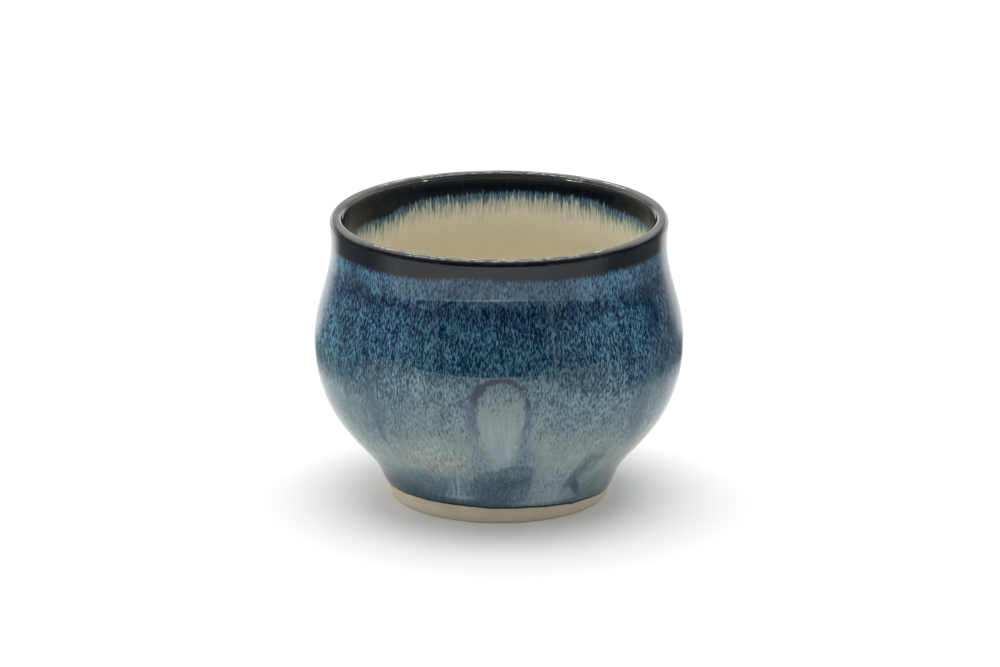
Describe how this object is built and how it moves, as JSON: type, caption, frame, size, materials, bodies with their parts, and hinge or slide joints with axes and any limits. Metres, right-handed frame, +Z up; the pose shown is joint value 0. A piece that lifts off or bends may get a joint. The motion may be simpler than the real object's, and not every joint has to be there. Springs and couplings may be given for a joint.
{
  "type": "shaving mug",
  "caption": "Round-bellied thrown stoneware shaving mug without a handle: turned foot, rolled lip, cream inside, dark rim and streaked blue outside.",
  "frame": {"origin": "centre of the mug's footprint, on the plane that it stands on", "axes": "+Z up along the cup's axis; -Y is the side with the arch-shaped glaze run"},
  "size_m": [0.1, 0.1, 0.078],
  "materials": {
    "bare_clay": "unglazed buff stoneware, dry and finely sanded, with faint turning lines",
    "dark_glaze": "gloss blue-black glaze, worn thin and pale on the lip",
    "blue_glaze": "gloss streaked blue over navy, breaking to pale celadon lower down, with fine vertical flecks and runs",
    "liner_glaze": "satin cream glaze with blue-green runs below the rim band and a few dark specks"
  },
  "bodies": {
    "root": {"clay_body": "bare_clay", "dark_glaze": "dark_glaze", "blue_glaze": "blue_glaze", "liner_glaze": "liner_glaze"}
  },
  "joints": []
}
